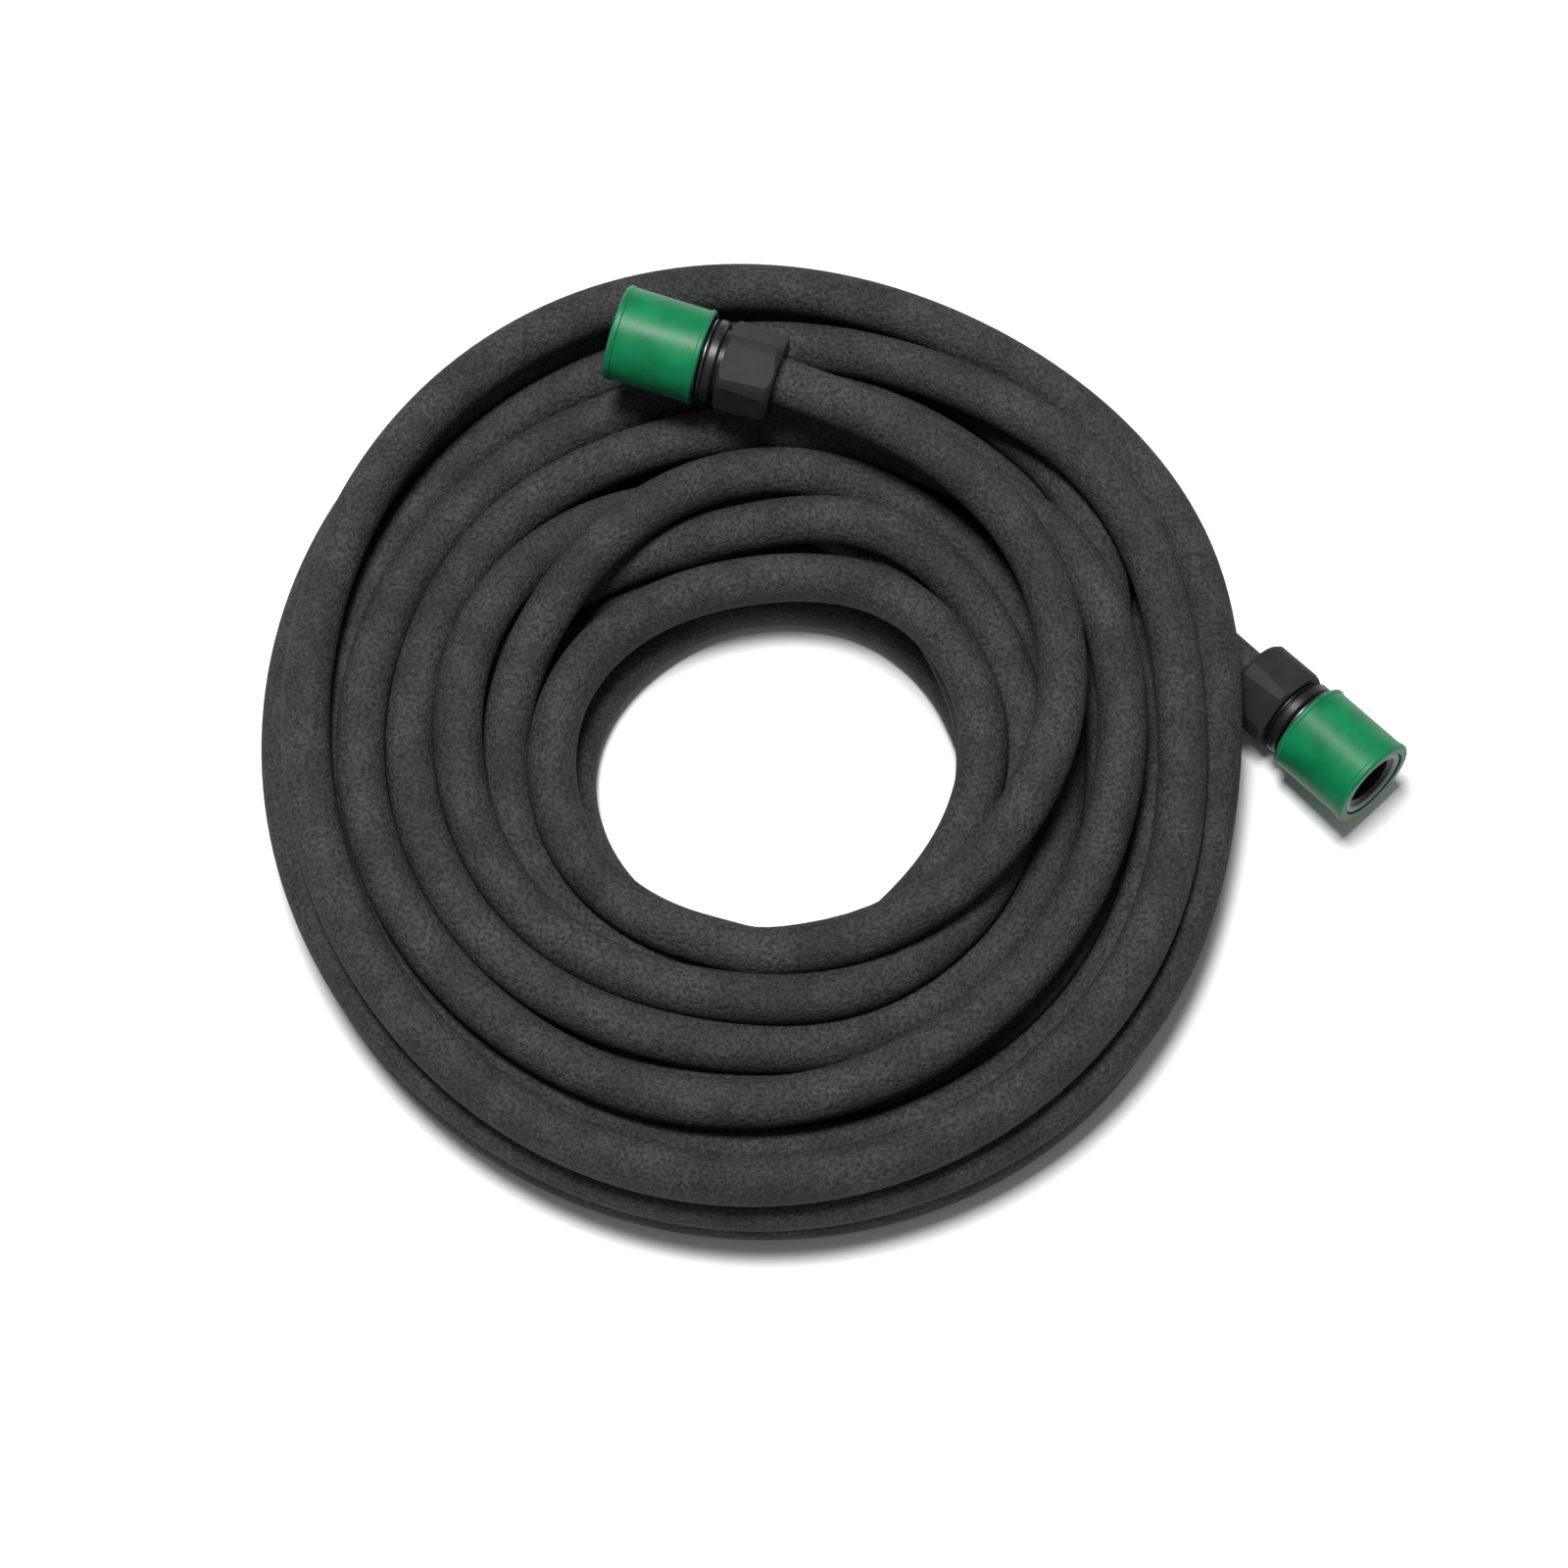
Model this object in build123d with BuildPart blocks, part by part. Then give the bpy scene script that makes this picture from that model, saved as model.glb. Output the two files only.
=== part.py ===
"""Soaker hose: a porous rubber hose wound in a loose flat coil, with a click connector on each end.

Units are millimetres and +Z is up. The origin is on the floor, under the middle of the whole object.
Connector A lies on top of the coil. Connector B lies on the floor beside it.
"""

import math
import os

from build123d import *

os.makedirs("parts", exist_ok=True)

# Hose
hose_radius = 8.25
hose_bore_radius = 6.35
least_bend = 78.0

# Coil: three layers of turns lie in a round bundle, and its hole is off centre
coil_x = -25.9
coil_y = 0.0
coil_outer_radius = 167.0
coil_height = 45.0
hole_radius = 62.0
hole_shift_x = 3.0
hole_shift_y = -12.0
coil_top_rounding = 12.0
coil_base_rounding = 6.0

# Connector, measured back from its mouth along its axis
sleeve_radius = 16.5
sleeve_barrel_radius = 16.1
sleeve_length = 31.0
sleeve_travel = 4.5
skirt_radius = 14.7
land_radius = 11.2
spring_shoulder = 15.0
claw_rear = 9.0
claw_length = 3.0
claw_width = 5.0
claw_tip_radius = 7.6
claw_end_radius = 10.95
claw_lift = 1.0
claw_count = 3
side_play = 0.2
tube_radius = 10.9
waist_radius = 12.0
ring_radius = 13.1
ring_bore_radius = 10.5
ring_rear = 2.95
ring_front = 0.6
socket_radius = 8.5
socket_front = 10.0
socket_depth = 22.0
lead_in_radius = 8.8
waterway_radius = 4.8
flange_front = 33.0
flange_rear = 36.5
flange_radius = 14.25
thread_core_radius = 11.4
thread_crest_radius = 12.2
thread_pitch = 3.0
hose_end = 43.0
barb_tip = 60.0
barb_radius = 6.3
barb_crest_radius = 6.6
nut_front = 38.5
nut_rear = 57.0
nut_flats = 28.4
nut_front_radius = 15.6
nut_rear_radius = 14.8
nut_bore_radius = 12.5
nut_wall = 2.0
nut_travel = 4.5
collet_front = 43.6
collet_rear = 54.6
collet_front_radius = 12.1
collet_rear_radius = 10.6
running_gap = 0.3
spring_wire_radius = 0.6
spring_radius = 13.35
spring_turns = 5.5

# Where each connector lies: its mouth's centre from the coil's centre, its heading and its climb
mouth_a = (-47.3, 131.7, 63.2)
heading_a = 162.5
climb_a = 2.0
mouth_b = (207.5, -17.0, 24.5)
heading_b = -47.1
climb_b = 9.0
nut_twist = -18.0

# The hose between connector and coil: it leaves straight along the connector's axis, then turns at
# corners measured from the coil's centre
first_corner = 86.0
route_a = [
    (77.0, 80.5, 54.3),
    (100.1, 41.6, 54.3),
    (102.5, -5.0, 54.3),
    (82.3, -47.4, 49.5),
    (45.3, -74.8, 42.5),
    (3.9, -82.1, 37.0),
]
route_b = [
    (118.5, 76.0, 8.6),
    (84.0, 104.0, 8.3),
    (45.0, 125.0, 8.3),
]

# The coil's outer turns stand clear of connector B's nut
nut_room_radius = 17.2
nut_room_length = 66.0


def from_coil(x, y, z):
    """A place measured from the coil's centre on the floor, in the object's frame."""
    return Vector(coil_x + x, coil_y + y, z)


class Placement:
    """A connector's planes: z of `face` points out of the mouth, and `profile` has radius as x."""

    def __init__(self, mouth, heading, climb):
        turn = math.radians(heading)
        rise = math.radians(climb)
        self.mouth = from_coil(*mouth)
        self.direction = Vector(
            math.cos(rise) * math.cos(turn), math.cos(rise) * math.sin(turn), math.sin(rise)
        )
        side = Vector(-math.sin(turn), math.cos(turn), 0)
        self.face = Plane(origin=self.mouth, x_dir=side, z_dir=self.direction)
        self.profile = Plane(origin=self.mouth, x_dir=side, z_dir=side.cross(self.direction))
        self.axis = Axis(self.mouth, self.direction)

    def back(self, distance):
        """The point on the axis that far behind the mouth."""
        return self.mouth - self.direction * distance


place_a = Placement(mouth_a, heading_a, climb_a)
place_b = Placement(mouth_b, heading_b, climb_b)


def make_body(place):
    """The fixed core: socket tube, spring seat flange, threaded neck and hose barb in one moulding."""
    outline = [
        (socket_radius + 1.2, -1.6),
        (ring_bore_radius, -1.6),
        (ring_bore_radius, -ring_rear),
        (tube_radius, -ring_rear),
        (tube_radius, -20.0),
        (waist_radius, -21.5),
        (waist_radius, -flange_front),
        (flange_radius - 0.6, -flange_front),
        (flange_radius, -flange_front - 0.6),
        (flange_radius, -flange_rear + 0.6),
        (flange_radius - 0.6, -flange_rear),
        (thread_core_radius, -flange_rear),
        (thread_core_radius, -hose_end),
        (barb_radius, -hose_end),
        (barb_radius, -barb_tip + 1.5),
        (barb_radius - 0.7, -barb_tip),
        (waterway_radius, -barb_tip),
        (waterway_radius, -socket_depth),
        (socket_radius, -socket_depth),
        (socket_radius, -socket_front),
        (lead_in_radius, -socket_front + 0.3),
        (lead_in_radius, -2.4),
    ]
    with BuildPart() as body:
        with BuildSketch(place.profile):
            with BuildLine():
                Polyline(*outline, close=True)
            make_face()
        revolve(axis=place.axis)
        for crest in range(2):
            middle = -(flange_rear + 1.6 + crest * thread_pitch)
            with BuildSketch(place.profile):
                with BuildLine():
                    Polyline(
                        (thread_core_radius - 0.5, middle - 0.9),
                        (thread_crest_radius, middle - 0.3),
                        (thread_crest_radius, middle + 0.3),
                        (thread_core_radius - 0.5, middle + 0.9),
                        close=True,
                    )
                make_face()
            revolve(axis=place.axis)
        for barb in range(3):
            crest_at = -(hose_end + 4.0 + barb * 4.5)
            with BuildSketch(place.profile):
                with BuildLine():
                    Polyline(
                        (barb_radius - 0.5, crest_at),
                        (barb_crest_radius, crest_at),
                        (barb_radius - 0.5, crest_at - 3.0),
                        close=True,
                    )
                make_face()
            revolve(axis=place.axis)
        with BuildSketch(place.face.offset(-claw_rear - side_play)):
            with PolarLocations(tube_radius - 1.5, claw_count):
                Rectangle(6.0, claw_width + 2 * side_play)
        extrude(amount=claw_length + 2 * side_play, mode=Mode.SUBTRACT)
    return body.part


def make_mouth_ring(place):
    """The light ring pressed on the socket tube: it stops the sleeve at the mouth."""
    with BuildPart() as ring:
        with BuildSketch(place.profile):
            with BuildLine():
                Polyline(
                    (ring_bore_radius, -ring_rear),
                    (ring_radius, -ring_rear),
                    (ring_radius, -ring_front - 0.5),
                    (ring_radius - 0.5, -ring_front),
                    (ring_bore_radius + 0.6, -ring_front),
                    (ring_bore_radius, -ring_front - 0.6),
                    close=True,
                )
            make_face()
        revolve(axis=place.axis)
    return ring.part


def make_release_sleeve(place):
    """The sliding grip: an outer barrel, a land that holds the claws in and a cone that frees them."""
    cone_slope = claw_lift / sleeve_travel
    cone_end = ring_rear + 0.05
    cone_radius = land_radius + cone_slope * (claw_rear + 0.1 - cone_end)
    outline = [
        (ring_radius + 0.2, 0.0),
        (sleeve_radius - 0.7, 0.0),
        (sleeve_radius, -0.7),
        (sleeve_radius, -2.0),
        (sleeve_barrel_radius, -2.4),
        (sleeve_barrel_radius, -sleeve_length + 1.9),
        (sleeve_radius, -sleeve_length + 1.5),
        (sleeve_radius, -sleeve_length + 0.6),
        (sleeve_radius - 0.6, -sleeve_length),
        (skirt_radius, -sleeve_length),
        (skirt_radius, -spring_shoulder),
        (land_radius, -spring_shoulder),
        (land_radius, -claw_rear - 0.1),
        (cone_radius, -cone_end),
        (ring_radius + 0.2, -cone_end),
    ]
    with BuildPart() as sleeve:
        with BuildSketch(place.profile):
            with BuildLine():
                Polyline(*outline, close=True)
            make_face()
        revolve(axis=place.axis)
    return sleeve.part


def make_claw(place, number):
    """A locking claw: a wedge that stands through a window of the socket tube into the bore."""
    rear = -claw_rear
    front = rear + claw_length
    with BuildPart() as claw:
        with BuildSketch(place.profile):
            with BuildLine():
                Polyline(
                    (claw_tip_radius, rear),
                    (claw_end_radius, rear),
                    (claw_end_radius, front),
                    (claw_tip_radius + 1.2, front),
                    (claw_tip_radius, front - 1.4),
                    close=True,
                )
            make_face()
        revolve(axis=place.axis)
        with BuildSketch(place.face.offset(rear)):
            with PolarLocations(tube_radius - 1.5, 1, start_angle=number * 360 / claw_count):
                Rectangle(6.0, claw_width)
        extrude(amount=claw_length, mode=Mode.INTERSECT)
    return claw.part


def make_sleeve_spring(place):
    """The return spring in the sleeve's skirt, from the sleeve's shoulder to the body's flange."""
    height = flange_front - spring_shoulder - 2 * spring_wire_radius - 0.1
    start = place.face.offset(-flange_front + spring_wire_radius + 0.05)
    coil = start.from_local_coords(
        Helix(pitch=height / spring_turns, height=height, radius=spring_radius)
    )
    with BuildPart() as spring:
        with BuildSketch(Plane(origin=coil @ 0, z_dir=coil % 0)):
            Circle(spring_wire_radius)
        sweep(path=coil, is_frenet=True)
    return spring.part


def make_clamp_nut(place):
    """The hexagonal nut: rounded corners, a threaded mouth and a cone that squeezes the collet."""
    cone_front = collet_front_radius + running_gap
    cone_rear = collet_rear_radius + running_gap
    with BuildPart() as nut:
        with BuildSketch(place.face.offset(-nut_rear)):
            RegularPolygon(radius=nut_flats / 2, side_count=6, major_radius=False, rotation=nut_twist)
        extrude(amount=nut_rear - nut_front)
        with BuildSketch(place.profile):
            with BuildLine():
                Polyline(
                    (0.0, -nut_front),
                    (nut_front_radius - 1.0, -nut_front),
                    (nut_front_radius, -nut_front - 1.0),
                    (nut_rear_radius + 0.3, -nut_rear + 1.6),
                    (nut_rear_radius - 1.0, -nut_rear),
                    (0.0, -nut_rear),
                    close=True,
                )
            make_face()
        revolve(axis=place.axis, mode=Mode.INTERSECT)
        with BuildSketch(place.profile):
            with BuildLine():
                Polyline(
                    (0.0, -nut_front),
                    (nut_bore_radius, -nut_front),
                    (nut_bore_radius, -collet_front),
                    (cone_front, -collet_front),
                    (cone_rear, -collet_rear),
                    (cone_rear, -nut_rear + nut_wall),
                    (hose_radius + 0.6, -nut_rear + nut_wall),
                    (hose_radius + 0.6, -nut_rear),
                    (0.0, -nut_rear),
                    close=True,
                )
            make_face()
        revolve(axis=place.axis, mode=Mode.SUBTRACT)
    return nut.part


def make_grip_collet(place):
    """The split taper ring between nut and hose: six fingers joined by a band at the front."""
    slit_length = collet_rear - collet_front - 2.5
    with BuildPart() as collet:
        with BuildSketch(place.profile):
            with BuildLine():
                Polyline(
                    (hose_radius + running_gap, -collet_front),
                    (collet_front_radius, -collet_front),
                    (collet_rear_radius, -collet_rear),
                    (hose_radius + running_gap, -collet_rear),
                    close=True,
                )
            make_face()
        revolve(axis=place.axis)
        with BuildSketch(place.face.offset(-collet_rear)):
            with PolarLocations(collet_rear_radius, 6):
                Rectangle(6.0, 1.2)
        extrude(amount=slit_length, mode=Mode.SUBTRACT)
    return collet.part


def corner_radii(name, points):
    """The arc radius at each corner: as large as the two runs beside it allow."""
    radii = []
    for before, corner, after in zip(points, points[1:], points[2:]):
        turn = math.radians((corner - before).get_angle(after - corner))
        shorter = min((corner - before).length, (after - corner).length)
        radii.append(0.45 * shorter / math.tan(turn / 2))
    print(name, "bend radii", [round(r) for r in radii])
    if min(radii) < least_bend:
        print(name, "has a bend under", least_bend)
    return radii


def make_lead(name, place, route):
    """The hose from its end in a connector to where it joins the coil's turns."""
    points = [place.back(hose_end + 0.1), place.back(first_corner)]
    points += [from_coil(*corner) for corner in route]
    radii = corner_radii(name, points)
    with BuildPart() as lead:
        with BuildLine() as path:
            FilletPolyline(*points, radius=radii)
        with BuildSketch(Plane(origin=points[0], z_dir=points[1] - points[0])):
            Circle(hose_radius)
            Circle(hose_bore_radius, mode=Mode.SUBTRACT)
        sweep(path=path.wires()[0])
    length = path.wires()[0].length
    section = math.pi * (hose_radius**2 - hose_bore_radius**2)
    print(name, "length", round(length), "volume", round(lead.part.volume), "of", round(length * section))
    return lead.part


# The wound part of the hose: one closed solid of the coil's outer shape
with BuildPart() as hose_coil:
    with BuildSketch(Plane.XY):
        with Locations((coil_x, coil_y)):
            Circle(coil_outer_radius)
        with Locations((coil_x + hole_shift_x, coil_y + hole_shift_y)):
            Circle(hole_radius, mode=Mode.SUBTRACT)
    extrude(amount=coil_height)
    top_edges = hose_coil.edges().filter_by(GeomType.CIRCLE).group_by(Axis.Z)[-1]
    fillet(top_edges, coil_top_rounding)
    base_edges = hose_coil.edges().filter_by(GeomType.CIRCLE).group_by(Axis.Z)[0]
    fillet(base_edges, coil_base_rounding)
    with BuildSketch(place_b.face.offset(-nut_room_length)):
        Circle(nut_room_radius)
    extrude(amount=nut_room_length, mode=Mode.SUBTRACT)

pieces = {"hose_coil": hose_coil.part}
for end, place, route in (("a", place_a, route_a), ("b", place_b, route_b)):
    pieces[f"hose_lead_{end}"] = make_lead(f"hose_lead_{end}", place, route)
    pieces[f"connector_body_{end}"] = make_body(place)
    pieces[f"mouth_ring_{end}"] = make_mouth_ring(place)
    pieces[f"release_sleeve_{end}"] = make_release_sleeve(place)
    pieces[f"sleeve_spring_{end}"] = make_sleeve_spring(place)
    for number in range(claw_count):
        pieces[f"locking_claw_{end}{number + 1}"] = make_claw(place, number)
    pieces[f"grip_collet_{end}"] = make_grip_collet(place)
    pieces[f"clamp_nut_{end}"] = make_clamp_nut(place)

for name, piece in pieces.items():
    piece.label = name
    export_step(piece, f"parts/{name}.step")
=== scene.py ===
"""Looks of the soaker hose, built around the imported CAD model."""

import math

import bmesh
import bpy
import numpy as np
from mathutils import Matrix, Vector


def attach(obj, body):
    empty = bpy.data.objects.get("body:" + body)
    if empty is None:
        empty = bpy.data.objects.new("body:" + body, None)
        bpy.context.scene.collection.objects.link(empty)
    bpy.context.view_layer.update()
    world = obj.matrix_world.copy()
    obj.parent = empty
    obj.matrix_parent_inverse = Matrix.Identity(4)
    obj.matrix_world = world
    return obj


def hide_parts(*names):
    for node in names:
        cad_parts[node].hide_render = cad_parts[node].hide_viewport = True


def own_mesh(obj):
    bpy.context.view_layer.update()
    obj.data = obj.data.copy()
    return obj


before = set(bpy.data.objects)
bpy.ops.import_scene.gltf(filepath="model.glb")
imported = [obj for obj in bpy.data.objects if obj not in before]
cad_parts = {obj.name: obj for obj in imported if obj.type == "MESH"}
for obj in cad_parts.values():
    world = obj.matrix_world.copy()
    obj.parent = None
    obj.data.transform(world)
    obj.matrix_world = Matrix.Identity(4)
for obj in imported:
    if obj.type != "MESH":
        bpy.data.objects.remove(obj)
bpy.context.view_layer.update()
scene = bpy.context.scene
MM = 0.001

# Camera: it looks along +Y, 72 degrees down
CAMERA_TARGET = Vector((-16.7, -16.0, 22.0)) * MM
CAMERA_DISTANCE = 1.2
CAMERA_ELEVATION = math.radians(72.0)
CAMERA_LENS = 81.8

camera_data = bpy.data.cameras.new("camera")
camera_data.lens = CAMERA_LENS
camera_data.sensor_width = 36.0
camera = bpy.data.objects.new("camera", camera_data)
looking = Vector((0.0, math.cos(CAMERA_ELEVATION), -math.sin(CAMERA_ELEVATION)))
camera.location = CAMERA_TARGET - looking * CAMERA_DISTANCE
camera.rotation_euler = looking.to_track_quat("-Z", "Y").to_euler()
scene.collection.objects.link(camera)
scene.camera = camera

# Hose route, in millimetres. Coil places are measured from the coil's centre on the floor.
COIL_CENTRE = Vector((-25.9, 0.0, 0.0))
HOSE_DIAMETER = 16.5
TURN_STEPS = 36

# Places along a connector, behind its mouth
SHOULDER = 15.0
FLANGE = 33.0
HOSE_END = 43.1
NUT_REAR = 57.0
FIRST_CORNER = 86.0

# Return spring. SPRING_WIRE is its wire's radius, and CLOSED_LEAD is in wire radii per turn.
SPRING_RADIUS = 13.35
SPRING_WIRE = 0.6
SPRING_TURNS = 6.5
CLOSED_TURNS = 0.9
CLOSED_LEAD = 2.1
SPRING_CLEARANCE = 0.05
SPRING_STEPS = 32
SPRING_SIDES = 10


class Connector:
    """Where a connector lies: its mouth's centre, the way it points, and places behind the mouth."""

    def __init__(self, mouth, heading, climb):
        turn, rise = math.radians(heading), math.radians(climb)
        level = math.cos(rise)
        self.mouth = COIL_CENTRE + Vector(mouth)
        self.direction = Vector((level * math.cos(turn), level * math.sin(turn), math.sin(rise)))

    def back(self, distance):
        return self.mouth - self.direction * distance

    def frame(self):
        """A transform from metres along the connector, with +Z out of its mouth, to the scene."""
        side = Vector((-self.direction.y, self.direction.x, 0.0)).normalized()
        up = self.direction.cross(side)
        turned = Matrix((side, up, self.direction)).transposed().to_4x4()
        return Matrix.Translation(self.mouth * MM) @ turned


connector_a = Connector((-47.3, 131.7, 63.2), 162.5, 2.0)
connector_b = Connector((207.5, -17.0, 24.5), -47.1, 9.0)

ROUTE_A = [
    (77.0, 80.5, 54.3),
    (100.1, 41.6, 54.3),
    (102.5, -5.0, 54.3),
    (81.0, -47.2, 49.5),
    (44.6, -73.0, 42.5),
    (3.9, -80.3, 37.0),
]
ROUTE_B = [
    (118.5, 76.0, 8.6),
    (84.0, 104.0, 8.3),
    (45.0, 125.0, 8.3),
]

# The coil's turns in the order that the hose runs, clockwise from above. Each row is one turn, with
# the radius and height at the north, north-east, east, south-east, south, south-west, west and
# north-west. The first half of the first turn is route A. Turns in HIDDEN lie under the others.
TURNS = [
    [(120, 58), (110, 54), (100, 54), (84, 45), (78.4, 38), (76.5, 37), (69.0, 37), (57, 37)],
    [(53.8, 37), (63.5, 37), (75, 38), (80, 30), (86, 23), (90, 33), (84.9, 38), (83.7, 38)],
    [(91.8, 37), (98, 30), (104, 25), (105, 28), (112.1, 33), (115.3, 37), (114.7, 37), (107.8, 37)],
    [(110.7, 37), (116, 37), (121.5, 38), (122.9, 38), (129.8, 38), (132.1, 38), (131.3, 38), (127.2, 35)],
    [(128.2, 30), (128, 25), (134, 24), (138, 24), (140, 24), (141, 24), (141, 24), (147.3, 26)],
    [(143.5, 34), (141.7, 38), (143.7, 38), (151.1, 38), (157.1, 38), (152.7, 38), (151.2, 38), (158.9, 38)],
    [(161.5, 38), (154, 39), (156, 19), (157, 24), (160.8, 24), (156, 24), (157, 24), (158.5, 24)],
    [(159, 24), (154, 24), (150, 8.3), (159, 8.3), (160.3, 8.3), (156.4, 8.3), (158, 8.3), (158, 8.3)],
    [(152, 9), (139, 25), (118.5, 23), (121, 23), (123, 22), (118, 22), (106, 22), (90, 23)],
    [(75.5, 30), (82.2, 30), (86, 26), (94.5, 30), (95, 41), (98.5, 38), (100.6, 31), (95, 23)],
    [(86, 18), (73, 24), (75.2, 22), (78.5, 9), (74.5, 8.3), (69.5, 8.3), (62.6, 8.3), (53.8, 8.3)],
    [(54, 8.3), (65, 8.3), (78, 8.3), (91.5, 8.3), (90.5, 8.3), (86, 8.3), (81.5, 8.3), (75, 8.3)],
    [(73, 8.3), (79, 8.3), (94, 8.3), (108, 8.3), (107, 8.3), (103, 8.3), (98.5, 8.3), (95, 8.3)],
    [(96, 8.3), (99, 8.3), (110.5, 8.3), (124, 8.3), (124, 8.3), (122, 8.3), (119, 8.3), (114, 8.3)],
    [(114, 8.3), (116, 8.3), (127, 8.3), (140, 8.3), (142, 8.3), (139, 8.3), (137, 8.3), (133, 8.3)],
    [(132, 8.3)],
]
HIDDEN = (8, 10, 11, 12, 13, 14, 15)
# How near the centre a strand may lie, at the same eight bearings
HOLE_EDGE = [53.8, 64.5, 75.0, 78.5, 74.5, 69.5, 62.4, 53.6]
BEARING_STEP = 45

# How the coil settles. In the last passes the strands only push each other apart.
PASSES = 500
FREE_SHARE = 0.8
TARGET_PULL = 0.05
PULL_BY_AXIS = np.array([1.0, 0.3])
HIDDEN_GRIP = 0.5
SINK = 0.1
STIFFNESS, LAST_STIFFNESS = 0.25, 0.06
STRAND_GAP = HOSE_DIAMETER * 1.002

# Bearings in degrees: where lead A steers the coil, where its strand stays pinned, and where the
# coil's own points start. Past the last row the hose follows lead B for a while.
LEAD_A_FROM, LEAD_A_TO, PINNED_TO, COIL_FROM = 30, 160, 170, 185
LEAD_B_OVERLAP = 75

# Strands keep clear of connector B's nut, and pass under connector A
BY_NUT = (72, 90)
NUT_PLACE = np.array([171.6, 15.3])
NUT_ROOM = HOSE_DIAMETER / 2 + 15.9
UNDER_A = (335, 12)
UNDER_A_RADII = (104, 152)
UNDER_A_HEIGHT = 37.4


def eased(values, at):
    """A smooth curve through evenly spaced values."""
    first = np.clip(np.floor(at).astype(int), 0, len(values) - 2)
    t = (at - first)[:, None]
    a, b, c, d = (values[np.clip(first + k, 0, len(values) - 1)] for k in (-1, 0, 1, 2))
    square, cube = 2 * a - 5 * b + 4 * c - d, 3 * b - a - 3 * c + d
    return 0.5 * (2 * b + (c - a) * t + square * t**2 + cube * t**3)


def line_through(points, steps=12):
    """Places along the smooth hose line that these route points steer."""
    found = []
    middles = [(a + b) / 2 for a, b in zip(points, points[1:])]
    for start, corner, end in zip(middles, points[1:-1], middles[1:]):
        for k in range(steps):
            t = k / steps
            found.append(start * (1 - t) ** 2 + corner * 2 * t * (1 - t) + end * t**2)
    return found


def around(points):
    """Bearing in degrees, clockwise from north, with radius and height, of places by the coil."""
    bearings = [math.degrees(math.atan2(p.x, p.y)) % 360 for p in points]
    return np.array([(angle, math.hypot(p.x, p.y), p.z) for angle, p in zip(bearings, points)])


def strand_pairs(turned):
    """Every two strands that pass the same bearing."""
    stride = np.round(turned / (360 / TURN_STEPS)).astype(int) % TURN_STEPS
    first, second = [], []
    for step in range(TURN_STEPS):
        strands = np.where(stride == step)[0]
        for i, strand in enumerate(strands):
            first += [strand] * (len(strands) - i - 1)
            second += list(strands[i + 1:])
    return np.array(first), np.array(second)


def pushed_apart(place, moving, first, second, share):
    """Moves strands that cut into each other until they touch."""
    gap = place[second] - place[first]
    apart = np.maximum(np.hypot(gap[:, 0], gap[:, 1]), 1e-6)
    close = np.where(apart < STRAND_GAP)[0]
    reach = (STRAND_GAP - apart[close]) / 2 * share[close]
    push = gap[close] / apart[close, None] * reach[:, None]
    moved, count = np.zeros_like(place), np.zeros(len(place))
    np.add.at(moved, first[close], -push)
    np.add.at(moved, second[close], push)
    np.add.at(count, first[close], 1)
    np.add.at(count, second[close], 1)
    place[moving] += (moved / np.maximum(count, 1)[:, None])[moving]


def eased_bends(place):
    """How far each place is from an even bend."""
    bend = np.zeros_like(place)
    bend[1:-1] = (place[:-2] + place[2:]) / 2 - place[1:-1]
    ease = np.zeros_like(place)
    ease[2:-2] = (bend[1:-3] + bend[3:-1]) / 2 - bend[2:-2]
    return ease


def settled(turned, place, target, pinned, grip):
    """Lets strands push each other apart, lie on the floor and keep smooth bends."""
    moving = ~pinned
    first, second = strand_pairs(turned)
    share = np.where(pinned[first] | pinned[second], 2.0, 1.0)
    bearing = turned % 360
    edge = np.array(HOLE_EDGE + HOLE_EDGE[:1], float)[:, None]
    hole = eased(edge, bearing / BEARING_STEP)[:, 0]
    by_nut = moving & (bearing >= BY_NUT[0]) & (bearing <= BY_NUT[1])
    under_connector = moving & ((bearing >= UNDER_A[0]) | (bearing <= UNDER_A[1]))
    pull = np.where(moving, TARGET_PULL * grip, 0.0)[:, None] * PULL_BY_AXIS
    for step in range(PASSES):
        last = step > PASSES * FREE_SHARE
        if not last:
            place += pull * (target - place)
            place[moving, 1] -= SINK
        place[moving] -= (LAST_STIFFNESS if last else STIFFNESS) * eased_bends(place)[moving]
        for _ in range(3):
            pushed_apart(place, moving, first, second, share)
            place[moving, 1] = np.maximum(place[moving, 1], HOSE_DIAMETER / 2)
            place[moving, 0] = np.maximum(place[moving, 0], hole[moving])
            beside = place - NUT_PLACE
            away = np.hypot(beside[:, 0], beside[:, 1])
            hit = by_nut & (away < NUT_ROOM)
            place[hit] += beside[hit] / away[hit, None] * (NUT_ROOM - away[hit])[:, None]
            low = under_connector & (place[:, 0] > UNDER_A_RADII[0]) & (place[:, 0] < UNDER_A_RADII[1])
            place[low, 1] = np.minimum(place[low, 1], UNDER_A_HEIGHT)
    return place


def lead_places(connector, route):
    """Bearing, radius and height along a lead, from its connector's nut into the coil."""
    corners = [connector.back(d) - COIL_CENTRE for d in (NUT_REAR, FIRST_CORNER)]
    return around(line_through(corners + [Vector(p) for p in route]))


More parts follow.
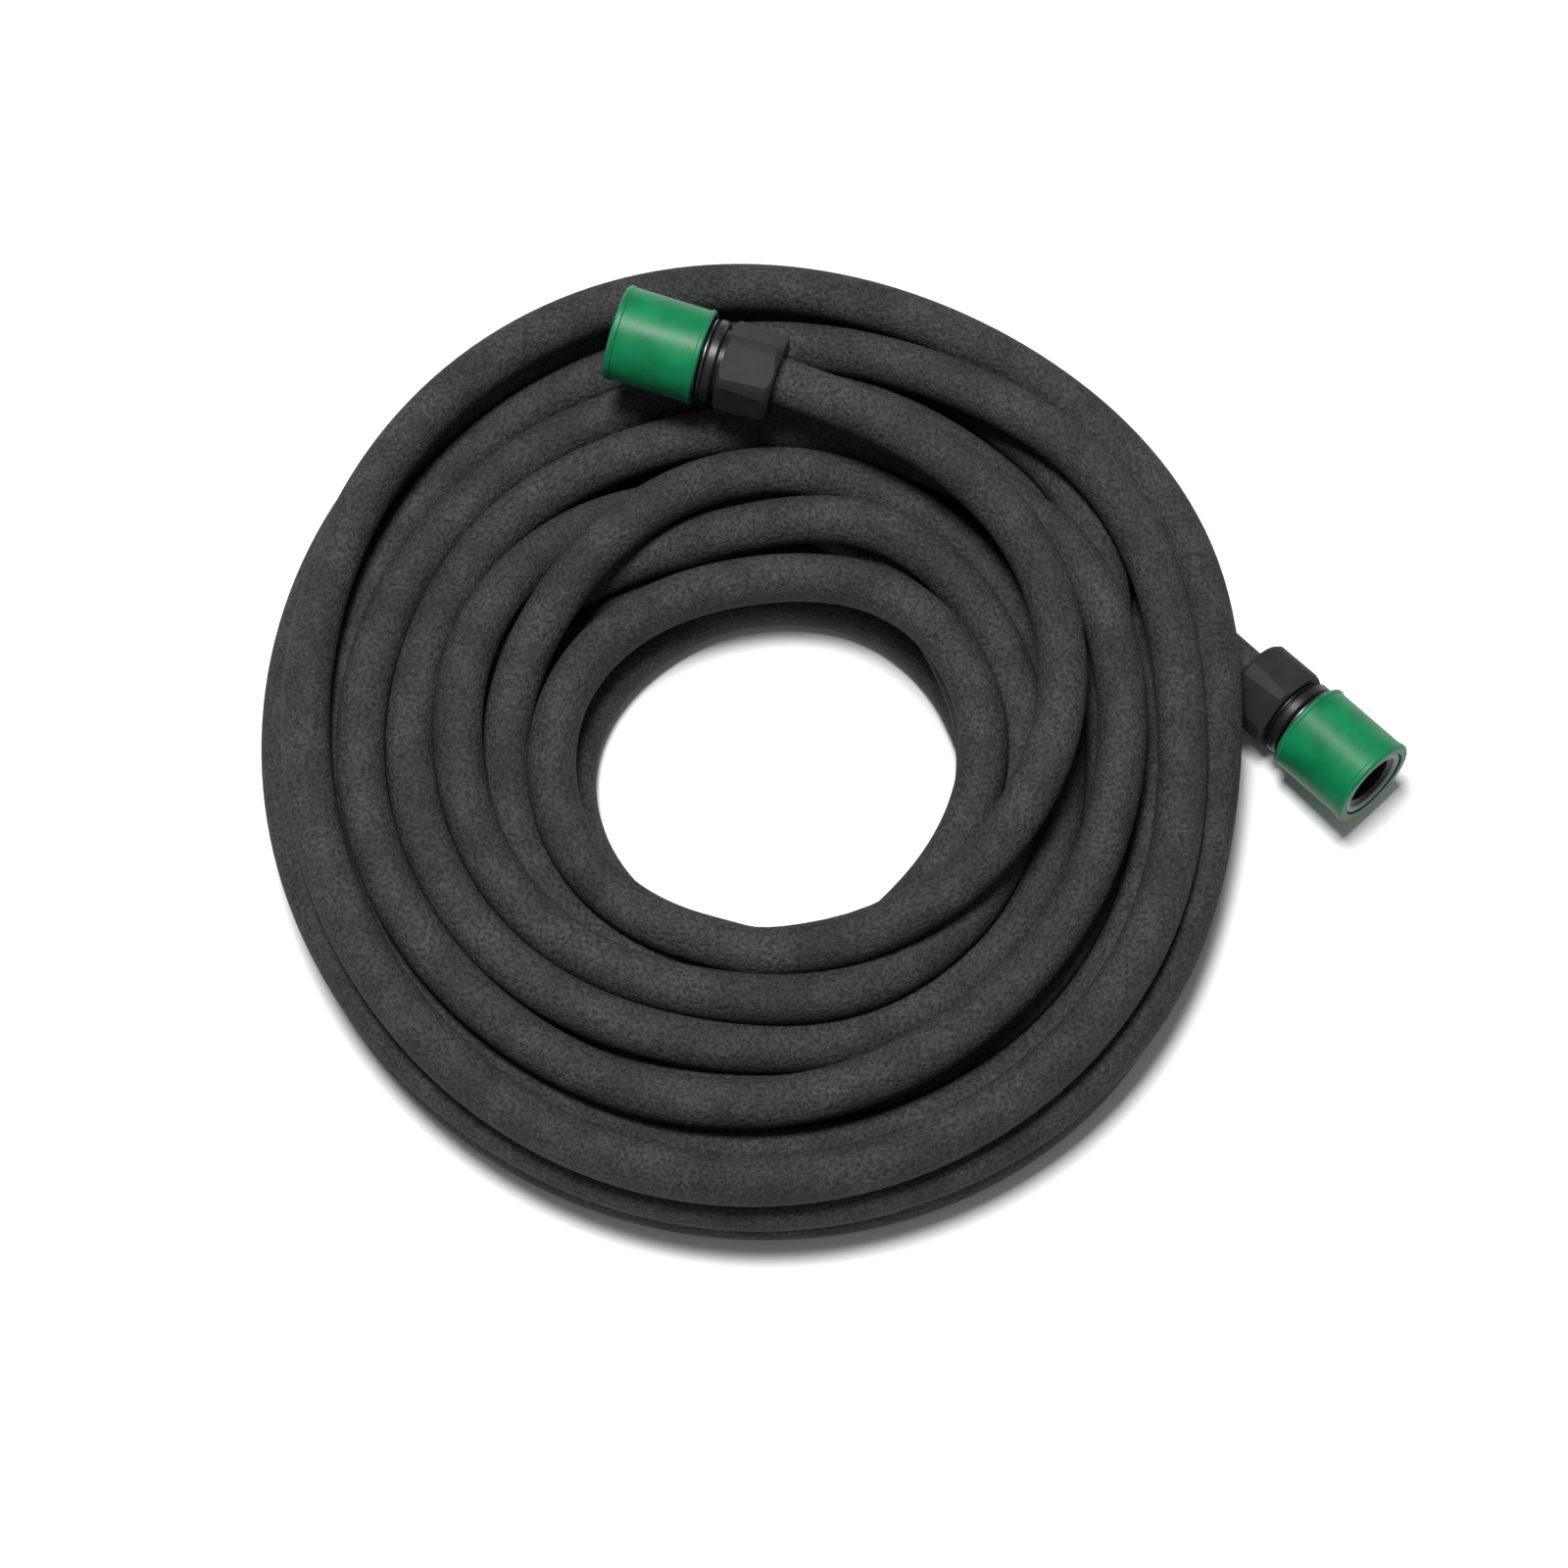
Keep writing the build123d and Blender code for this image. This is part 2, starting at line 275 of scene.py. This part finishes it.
def coil_points():
    """The hose's route points between the two leads, from the coil's centre."""
    knots = np.array([knot for turn in TURNS for knot in turn], float)
    step = 360 / TURN_STEPS
    turned = np.arange(0, (len(knots) - 1) * BEARING_STEP + 1, step)
    target = eased(knots, turned / BEARING_STEP)
    grip = np.where(np.isin((turned // 360).astype(int), HIDDEN), HIDDEN_GRIP, 1.0)
    # The leads are part of the first and last turns, and stay where they are
    lead_a, lead_b = lead_places(connector_a, ROUTE_A), lead_places(connector_b, ROUTE_B)[::-1]
    by_a = (turned >= LEAD_A_FROM) & (turned <= LEAD_A_TO)
    for column in (1, 2):
        target[by_a, column - 1] = np.interp(turned[by_a], lead_a[:, 0], lead_a[:, column])
    kept = turned >= LEAD_A_FROM
    turned, target, grip = turned[kept], target[kept], grip[kept]
    tail = np.arange(turned[-1] + step, turned[-1] + LEAD_B_OVERLAP, step)
    tail_place = np.stack([np.interp(tail % 360, lead_b[:, 0], lead_b[:, c]) for c in (1, 2)], 1)
    turned = np.concatenate([turned, tail])
    target = np.concatenate([target, tail_place])
    grip = np.concatenate([grip, np.ones(len(tail))])
    pinned = (turned <= PINNED_TO) | (turned >= tail[1])
    place = settled(turned, target.copy(), target, pinned, grip)
    # The hose's line runs a little inside its points, so they stand that much further out
    outwards = 1 / (0.75 + 0.25 * math.cos(2 * math.pi / TURN_STEPS))
    points = []
    for angle, (radius, height) in zip(turned, place):
        if COIL_FROM < angle < tail[1]:
            bearing, out = math.radians(angle), radius * outwards
            points.append(Vector((out * math.sin(bearing), out * math.cos(bearing), height)))
    return points


def make_hose():
    """One hose from connector A over the coil, through its turns and out to connector B."""
    route = [connector_a.back(HOSE_END), connector_a.back(FIRST_CORNER)]
    route += [COIL_CENTRE + Vector(corner) for corner in ROUTE_A]
    route += [COIL_CENTRE + point for point in coil_points()]
    route += [COIL_CENTRE + Vector(corner) for corner in reversed(ROUTE_B)]
    route += [connector_b.back(FIRST_CORNER), connector_b.back(HOSE_END)]
    curve = bpy.data.curves.new("hose", "CURVE")
    curve.dimensions = "3D"
    curve.bevel_depth = 1.0
    curve.bevel_resolution = 8
    curve.resolution_u = 5
    line = curve.splines.new("NURBS")
    line.points.add(len(route) - 1)
    for point, place in zip(line.points, route):
        point.co = (*(place * MM), 1.0)
        point.radius = HOSE_DIAMETER / 2 * MM
    line.order_u = 3
    line.use_endpoint_u = True
    line.use_smooth = True
    hose = bpy.data.objects.new("hose", curve)
    scene.collection.objects.link(hose)
    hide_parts("hose_coil", "hose_lead_a", "hose_lead_b")
    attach(hose, "root")
    return hose


def make_spring(end, connector):
    """The sleeve's return spring, with closed end coils."""
    length = FLANGE - SHOULDER - 2 * SPRING_CLEARANCE
    wire, closed, closed_lead = SPRING_WIRE, CLOSED_TURNS, CLOSED_LEAD * SPRING_WIRE
    open_turns = SPRING_TURNS - 2 * closed
    open_lead = (length - 2 * wire - 2 * closed * closed_lead) / open_turns
    mesh = bmesh.new()
    place = connector.frame()
    rings = []
    for k in range(int(SPRING_TURNS * SPRING_STEPS) + 1):
        turn = k / SPRING_STEPS
        rise = closed_lead * min(turn, closed) + open_lead * min(max(turn - closed, 0), open_turns)
        rise += closed_lead * max(turn - SPRING_TURNS + closed, 0)
        outward = Vector((math.cos(2 * math.pi * turn), math.sin(2 * math.pi * turn), 0))
        height = SPRING_CLEARANCE + wire + rise - FLANGE
        middle = outward * SPRING_RADIUS + Vector((0, 0, height))
        rings.append([])
        for n in range(SPRING_SIDES):
            angle = 2 * math.pi * n / SPRING_SIDES
            spot = middle + (outward * math.cos(angle) + Vector((0, 0, math.sin(angle)))) * wire
            rings[-1].append(mesh.verts.new(place @ (spot * MM)))
    for one, following in zip(rings, rings[1:]):
        for n in range(SPRING_SIDES):
            m = (n + 1) % SPRING_SIDES
            mesh.faces.new((one[n], one[m], following[m], following[n])).smooth = True
    mesh.faces.new(rings[0][::-1])
    mesh.faces.new(rings[-1])
    bmesh.ops.recalc_face_normals(mesh, faces=mesh.faces)
    data = bpy.data.meshes.new(f"return_spring_{end}")
    mesh.to_mesh(data)
    mesh.free()
    spring = bpy.data.objects.new(f"return_spring_{end}", data)
    scene.collection.objects.link(spring)
    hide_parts(f"sleeve_spring_{end}")
    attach(spring, "root")
    anchor = connector.back(FLANGE) * MM
    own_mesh(spring)
    return spring


def node_tree(name):
    """A new material, with its nodes, its links and its principled shader."""
    material = bpy.data.materials.new(name)
    material.use_nodes = True
    nodes, links = material.node_tree.nodes, material.node_tree.links
    return material, nodes, links, nodes["Principled BSDF"]


def mottle(nodes, links, scale, detail, low, high):
    """Noise through a ramp from one grey or colour to another, in object space."""
    place = nodes.new("ShaderNodeTexCoord")
    noise = nodes.new("ShaderNodeTexNoise")
    noise.inputs["Scale"].default_value = scale
    noise.inputs["Detail"].default_value = detail
    links.new(place.outputs["Object"], noise.inputs["Vector"])
    ramp = nodes.new("ShaderNodeValToRGB")
    ramp.color_ramp.elements[0].position = 0.35
    ramp.color_ramp.elements[1].position = 0.65
    ramp.color_ramp.elements[0].color = (*low, 1.0)
    ramp.color_ramp.elements[1].color = (*high, 1.0)
    links.new(noise.outputs["Fac"], ramp.inputs["Fac"])
    return noise, ramp


def blended(nodes, links, mode, factor, first, second):
    """Mixes two colours."""
    mix = nodes.new("ShaderNodeMix")
    mix.data_type = "RGBA"
    mix.blend_type = mode
    mix.inputs["Factor"].default_value = factor
    links.new(first, mix.inputs["A"])
    links.new(second, mix.inputs["B"])
    return mix.outputs["Result"]


def raised(nodes, links, height, strength, distance, under=None):
    """A bump from a height, on top of another bump if given."""
    bump = nodes.new("ShaderNodeBump")
    bump.inputs["Strength"].default_value = strength
    bump.inputs["Distance"].default_value = distance
    links.new(height, bump.inputs["Height"])
    if under is not None:
        links.new(under, bump.inputs["Normal"])
    return bump.outputs["Normal"]


def rubber():
    """Porous hose wall: crumbs of rubber pressed together, dull, with pits between them that are darkened
    with painted shade.
    """
    material, nodes, links, shader = node_tree("porous_rubber")
    crumbs, crumb_tone = mottle(nodes, links, 800, 5, (0.0118, 0.0130, 0.0126), (0.0490, 0.0534, 0.0520))
    _, patch_tone = mottle(nodes, links, 60, 4, (0.60, 0.60, 0.60), (1.0, 1.0, 1.0))
    place = nodes.new("ShaderNodeTexCoord")
    pits = nodes.new("ShaderNodeTexVoronoi")
    pits.inputs["Scale"].default_value = 900
    links.new(place.outputs["Object"], pits.inputs["Vector"])
    depth = nodes.new("ShaderNodeMapRange")
    depth.inputs["From Min"].default_value = 0.05
    depth.inputs["From Max"].default_value = 0.45
    links.new(pits.outputs["Distance"], depth.inputs["Value"])
    # Painted shade: the colour is darkened in the pits, where the bump is deepest
    painted_pit_shade = nodes.new("ShaderNodeValToRGB")
    painted_pit_shade.color_ramp.elements[0].color = (0.6, 0.6, 0.6, 1.0)
    painted_pit_shade.color_ramp.elements[1].color = (1.0, 1.0, 1.0, 1.0)
    links.new(depth.outputs["Result"], painted_pit_shade.inputs["Fac"])
    tone = blended(nodes, links, "MULTIPLY", 1.0, crumb_tone.outputs["Color"], patch_tone.outputs["Color"])
    tone = blended(nodes, links, "MULTIPLY", 0.6, tone, painted_pit_shade.outputs["Color"])
    links.new(tone, shader.inputs["Base Color"])
    rough = nodes.new("ShaderNodeMapRange")
    rough.inputs["To Min"].default_value = 0.72
    rough.inputs["To Max"].default_value = 0.95
    links.new(crumbs.outputs["Fac"], rough.inputs["Value"])
    links.new(rough.outputs["Result"], shader.inputs["Roughness"])
    shader.inputs["Specular IOR Level"].default_value = 0.3
    coarse = raised(nodes, links, crumbs.outputs["Fac"], 0.8, 0.0009)
    links.new(raised(nodes, links, depth.outputs["Result"], 0.5, 0.0004, coarse), shader.inputs["Normal"])
    return material


def moulded(name, low, high, roughness, grain, specular=0.5):
    """Moulded plastic: slight flow marks in its colour, a fine grain, and an uneven gloss."""
    material, nodes, links, shader = node_tree(name)
    flow, tone = mottle(nodes, links, 90, 4, low, high)
    links.new(tone.outputs["Color"], shader.inputs["Base Color"])
    fine, _ = mottle(nodes, links, 2600, 3, low, high)
    wear = nodes.new("ShaderNodeMapRange")
    wear.inputs["To Min"].default_value = roughness - 0.06
    wear.inputs["To Max"].default_value = roughness + 0.08
    links.new(flow.outputs["Fac"], wear.inputs["Value"])
    links.new(wear.outputs["Result"], shader.inputs["Roughness"])
    shader.inputs["Specular IOR Level"].default_value = specular
    links.new(raised(nodes, links, fine.outputs["Fac"], grain, 0.00015), shader.inputs["Normal"])
    return material


def wire():
    """Drawn spring steel with streaks along its length, coloured far darker than bare steel as painted shade
    for the gap behind the sleeve.
    """
    material, nodes, links, shader = node_tree("spring_steel")
    # Painted shade: the steel's colour is kept dark so the spring reads as the shaded gap between sleeve and
    # flange
    streaks, tone = mottle(nodes, links, 800, 4, (0.10, 0.10, 0.11), (0.17, 0.17, 0.18))
    links.new(tone.outputs["Color"], shader.inputs["Base Color"])
    shader.inputs["Metallic"].default_value = 1.0
    shader.inputs["Roughness"].default_value = 0.32
    links.new(raised(nodes, links, streaks.outputs["Fac"], 0.3, 0.0001), shader.inputs["Normal"])
    return material


def painted(node, material):
    """Gives a CAD node its finish."""
    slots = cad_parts[node].material_slots
    if not slots:
        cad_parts[node].data.materials.append(material)
    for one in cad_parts[node].material_slots:
        one.material = material


hose = make_hose()
springs = {"a": make_spring("a", connector_a), "b": make_spring("b", connector_b)}
hose.data.materials.append(rubber())

green = moulded("green_plastic", (0.0016, 0.115, 0.041), (0.0028, 0.165, 0.059), 0.40, 0.3, 0.2)
gloss_black = moulded("black_plastic", (0.006, 0.006, 0.007), (0.013, 0.012, 0.015), 0.36, 0.3, 0.32)
charcoal = moulded("charcoal_plastic", (0.007, 0.0077, 0.0077), (0.014, 0.015, 0.015), 0.65, 0.9, 0.3)
pale = moulded("pale_plastic", (0.13, 0.145, 0.145), (0.19, 0.21, 0.205), 0.45, 0.3)
# The spring's steel carries painted shade: it is much darker than bare steel
steel = wire()
for end in "ab":
    painted(f"release_sleeve_{end}", green)
    painted(f"connector_body_{end}", gloss_black)
    painted(f"mouth_ring_{end}", pale)
    painted(f"clamp_nut_{end}", charcoal)
    painted(f"grip_collet_{end}", gloss_black)
    springs[end].data.materials.append(steel)
    for number in (1, 2, 3):
        painted(f"locking_claw_{end}{number}", pale)


def make_floor():
    """A wide pale sheet under the hose."""
    mesh = bpy.data.meshes.new("floor")
    reach = 6.0
    corners = [(-reach, -reach, 0), (reach, -reach, 0), (reach, reach, 0), (-reach, reach, 0)]
    mesh.from_pydata(corners, [], [(0, 1, 2, 3)])
    floor = bpy.data.objects.new("floor", mesh)
    scene.collection.objects.link(floor)
    material, nodes, links, shader = node_tree("floor_paper")
    _, tone = mottle(nodes, links, 3, 2, (0.76, 0.76, 0.76), (0.80, 0.80, 0.80))
    links.new(tone.outputs["Color"], shader.inputs["Base Color"])
    shader.inputs["Roughness"].default_value = 0.9
    shader.inputs["Specular IOR Level"].default_value = 0.1
    mesh.materials.append(material)


def add_light(name, place, aim, size, power):
    """A soft square lamp that points at a place."""
    lamp = bpy.data.lights.new(name, "AREA")
    lamp.shape = "SQUARE"
    lamp.size = size
    lamp.energy = power
    light = bpy.data.objects.new(name, lamp)
    light.location = place
    light.rotation_euler = (Vector(aim) - Vector(place)).to_track_quat("-Z", "Y").to_euler()
    scene.collection.objects.link(light)


make_floor()
add_light("key", (-0.2, 0.27, 1.95), (0, 0, 0), 0.5, 58)
world = bpy.data.worlds.new("studio")
world.use_nodes = True
world.node_tree.nodes["Background"].inputs["Color"].default_value = (1.0, 1.0, 1.0, 1.0)
world.node_tree.nodes["Background"].inputs["Strength"].default_value = 0.24
scene.world = world
scene.view_settings.view_transform = "Standard"
